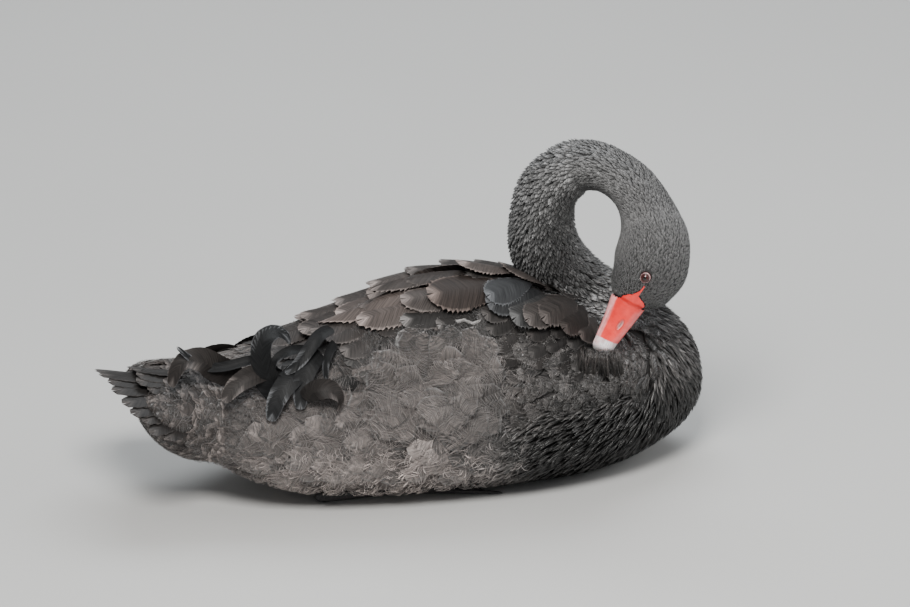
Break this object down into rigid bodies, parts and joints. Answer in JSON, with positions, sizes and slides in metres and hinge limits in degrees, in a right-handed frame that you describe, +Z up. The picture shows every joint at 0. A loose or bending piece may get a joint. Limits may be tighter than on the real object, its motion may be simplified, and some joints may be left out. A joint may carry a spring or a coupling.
{
  "type": "black swan model",
  "caption": "Life-size still model of a black swan resting on its belly, neck looped back with the bill preening its right shoulder.",
  "frame": {"origin": "on the floor, at the middle of the flat under the belly", "axes": "+X towards the breast, +Y towards the bird's left, +Z up"},
  "size_m": [0.6575, 0.2556, 0.3696],
  "materials": {
    "body_feathers": "soft black and dark brown feathers, dry, matt",
    "wing_feathers": "dark grey-brown vanes with paler worn edges",
    "bill_skin": "smooth coral red horn with a pale band near the tip",
    "eye_gloss": "wet dark red",
    "foot_skin": "dark grey scaled skin"
  },
  "bodies": {
    "root": {"torso": "body_feathers", "neck_base": "body_feathers", "neck_lower": "body_feathers", "neck_middle": "body_feathers", "neck_upper": "body_feathers", "head": "body_feathers", "bill_upper": "bill_skin", "bill_lower": "bill_skin", "eye_left": "eye_gloss", "eye_right": "eye_gloss", "wing_left": "wing_feathers", "wing_right": "wing_feathers", "tail": "wing_feathers", "leg_left": "foot_skin", "leg_right": "foot_skin"}
  },
  "joints": []
}
